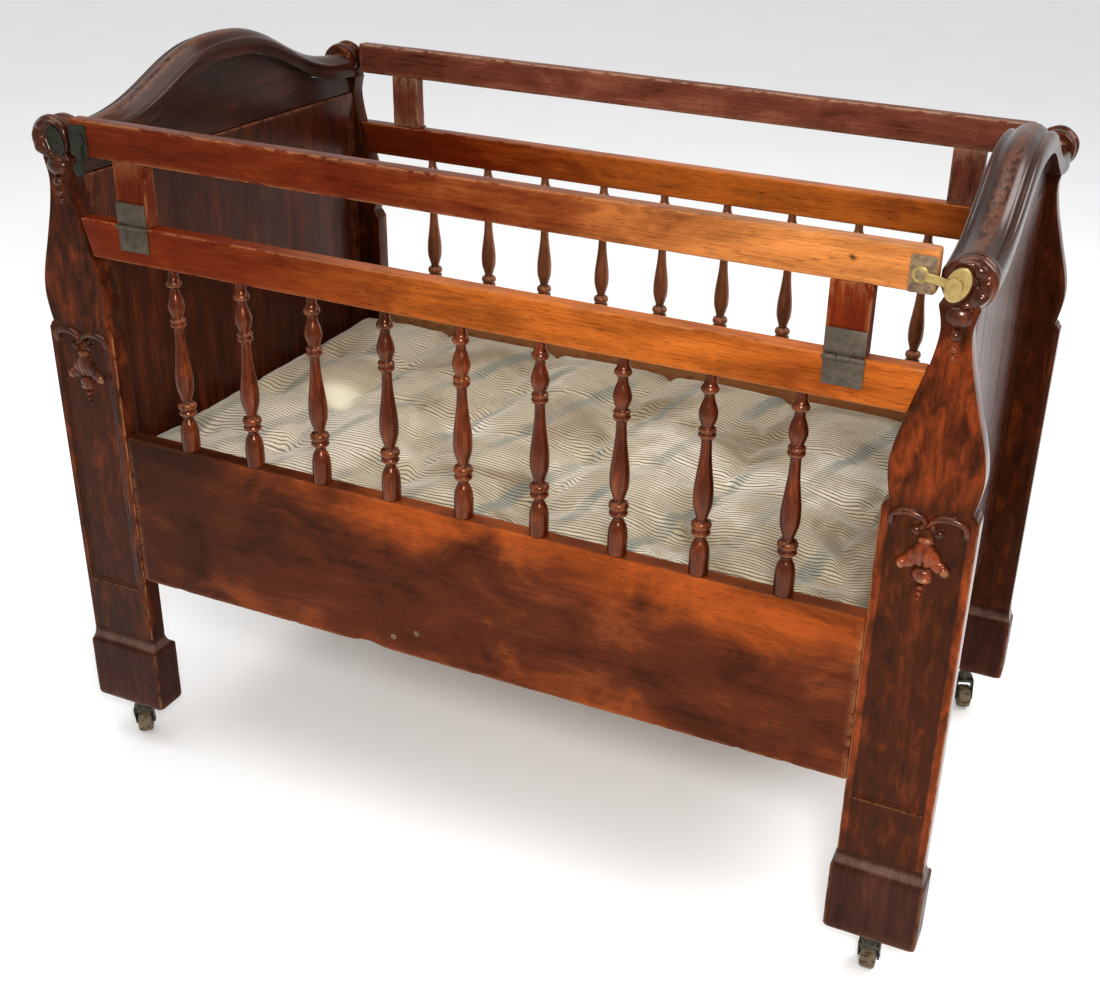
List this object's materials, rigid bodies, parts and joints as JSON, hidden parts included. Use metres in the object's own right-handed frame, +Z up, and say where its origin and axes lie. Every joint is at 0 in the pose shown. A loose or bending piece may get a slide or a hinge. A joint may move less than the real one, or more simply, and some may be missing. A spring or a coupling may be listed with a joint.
{
  "type": "baby crib",
  "caption": "Antique mahogany baby crib: carved lyre posts, arched crest rails, turned spindle sides, fold-down top gates with latch arms, striped mattress and swivel casters.",
  "frame": {"origin": "on the floor, under the middle of the crib", "axes": "+X along the crib's length, +Y from the front side to the back side, +Z up"},
  "size_m": [1.268, 0.6952, 1.024],
  "materials": {
    "rail_wood": "polished red mahogany, worn edges",
    "post_wood": "glossy dark red mahogany with carving",
    "block_wood": "dark mahogany, scuffed",
    "apron_veneer": "figured flame mahogany veneer, glossy",
    "spindle_wood": "turned mahogany, glossy",
    "crest_wood": "very dark mahogany, glossy",
    "end_wood": "dark mahogany board, semi-gloss",
    "base_wood": "bare softwood, matt",
    "ticking": "cream cotton ticking with thin dark stripes, matt",
    "hinge_iron": "dull grey-olive iron",
    "latch_plate_brass": "dark aged brass",
    "latch_brass": "worn yellow brass",
    "caster_iron": "dark grey-olive iron",
    "caster_wheel": "pale worn hardwood"
  },
  "bodies": {
    "root": {"post_front_left": "post_wood", "post_front_right": "post_wood", "post_back_left": "post_wood", "post_back_right": "post_wood", "foot_block_front_left": "block_wood", "foot_block_front_right": "block_wood", "foot_block_back_left": "block_wood", "foot_block_back_right": "block_wood", "apron_front": "apron_veneer", "apron_back": "apron_veneer", "spindle_rail_front": "rail_wood", "spindle_front_1": "spindle_wood", "spindle_front_2": "spindle_wood", "spindle_front_3": "spindle_wood", "spindle_front_4": "spindle_wood", "spindle_front_5": "spindle_wood", "spindle_front_6": "spindle_wood", "spindle_front_7": "spindle_wood", "spindle_front_8": "spindle_wood", "spindle_front_9": "spindle_wood", "balustrade_back": "spindle_wood", "crest_rail_left": "crest_wood", "crest_rail_right": "crest_wood", "upper_end_board_left": "crest_wood", "upper_end_board_right": "crest_wood", "lower_end_board_left": "end_wood", "lower_end_board_right": "end_wood", "slat_base": "base_wood", "mattress": "ticking", "hinge_rail_leaf_front_left": "hinge_iron", "hinge_rail_leaf_front_right": "hinge_iron", "hinge_rail_leaf_back_left": "hinge_iron", "hinge_rail_leaf_back_right": "hinge_iron", "latch_keeper_front_left": "latch_brass", "latch_keeper_front_right": "latch_brass", "latch_keeper_back_left": "latch_brass", "latch_keeper_back_right": "latch_brass"},
    "gate_front": {"gate_front": "rail_wood", "hinge_gate_leaf_front_left": "hinge_iron", "hinge_gate_leaf_front_right": "hinge_iron", "latch_plate_front_left": "latch_plate_brass", "latch_plate_front_right": "latch_plate_brass"},
    "gate_back": {"gate_back": "rail_wood", "hinge_gate_leaf_back_left": "hinge_iron", "hinge_gate_leaf_back_right": "hinge_iron", "latch_plate_back_left": "latch_plate_brass", "latch_plate_back_right": "latch_plate_brass"},
    "latch_arm_front_left": {"latch_arm_front_left": "latch_brass"},
    "latch_arm_front_right": {"latch_arm_front_right": "latch_brass"},
    "latch_arm_back_left": {"latch_arm_back_left": "latch_brass"},
    "latch_arm_back_right": {"latch_arm_back_right": "latch_brass"},
    "caster_horn_front_left": {"caster_horn_front_left": "caster_iron"},
    "caster_horn_front_right": {"caster_horn_front_right": "caster_iron"},
    "caster_horn_back_left": {"caster_horn_back_left": "caster_iron"},
    "caster_horn_back_right": {"caster_horn_back_right": "caster_iron"},
    "caster_wheel_front_left": {"caster_wheel_front_left": "caster_wheel"},
    "caster_wheel_front_right": {"caster_wheel_front_right": "caster_wheel"},
    "caster_wheel_back_left": {"caster_wheel_back_left": "caster_wheel"},
    "caster_wheel_back_right": {"caster_wheel_back_right": "caster_wheel"}
  },
  "joints": [
    {"name": "gate_front_fold", "type": "hinge", "parent": "root", "child": "gate_front", "pos_m": [0, -0.3423, 0.8345], "axis": [1, 0, 0], "range_deg": [0, 170]},
    {"name": "gate_back_fold", "type": "hinge", "parent": "root", "child": "gate_back", "pos_m": [0, 0.3423, 0.8345], "axis": [-1, 0, 0], "range_deg": [0, 170]},
    {"name": "latch_front_left_turn", "type": "hinge", "parent": "gate_front", "child": "latch_arm_front_left", "pos_m": [-0.5325, -0.3423, 0.938], "axis": [0, -1, 0], "range_deg": [-60, 280]},
    {"name": "latch_front_right_turn", "type": "hinge", "parent": "gate_front", "child": "latch_arm_front_right", "pos_m": [0.5325, -0.3423, 0.938], "axis": [0, -1, 0], "range_deg": [0, 340]},
    {"name": "latch_back_left_turn", "type": "hinge", "parent": "gate_back", "child": "latch_arm_back_left", "pos_m": [-0.5325, 0.3423, 0.938], "axis": [0, 1, 0], "range_deg": [0, 340]},
    {"name": "latch_back_right_turn", "type": "hinge", "parent": "gate_back", "child": "latch_arm_back_right", "pos_m": [0.5325, 0.3423, 0.938], "axis": [0, -1, 0], "range_deg": [0, 340]},
    {"name": "caster_front_left_swivel", "type": "hinge", "parent": "root", "child": "caster_horn_front_left", "pos_m": [-0.575, -0.322, 0.072], "axis": [0, 0, 1], "continuous": true},
    {"name": "caster_front_right_swivel", "type": "hinge", "parent": "root", "child": "caster_horn_front_right", "pos_m": [0.575, -0.322, 0.072], "axis": [0, 0, 1], "continuous": true},
    {"name": "caster_back_left_swivel", "type": "hinge", "parent": "root", "child": "caster_horn_back_left", "pos_m": [-0.575, 0.322, 0.072], "axis": [0, 0, 1], "continuous": true},
    {"name": "caster_back_right_swivel", "type": "hinge", "parent": "root", "child": "caster_horn_back_right", "pos_m": [0.575, 0.322, 0.072], "axis": [0, 0, 1], "continuous": true},
    {"name": "caster_front_left_roll", "type": "hinge", "parent": "caster_horn_front_left", "child": "caster_wheel_front_left", "pos_m": [-0.58188, -0.31217, 0.0185], "axis": [0.8192, 0.5736, 0], "continuous": true},
    {"name": "caster_front_right_roll", "type": "hinge", "parent": "caster_horn_front_right", "child": "caster_wheel_front_right", "pos_m": [0.57416, -0.31003, 0.0185], "axis": [0.9976, 0.0698, 0], "continuous": true},
    {"name": "caster_back_left_roll", "type": "hinge", "parent": "caster_horn_back_left", "child": "caster_wheel_back_left", "pos_m": [-0.58007, 0.31112, 0.0185], "axis": [-0.9063, 0.4226, 0], "continuous": true},
    {"name": "caster_back_right_roll", "type": "hinge", "parent": "caster_horn_back_right", "child": "caster_wheel_back_right", "pos_m": [0.5791, 0.31072, 0.0185], "axis": [-0.9397, -0.342, 0], "continuous": true}
  ]
}
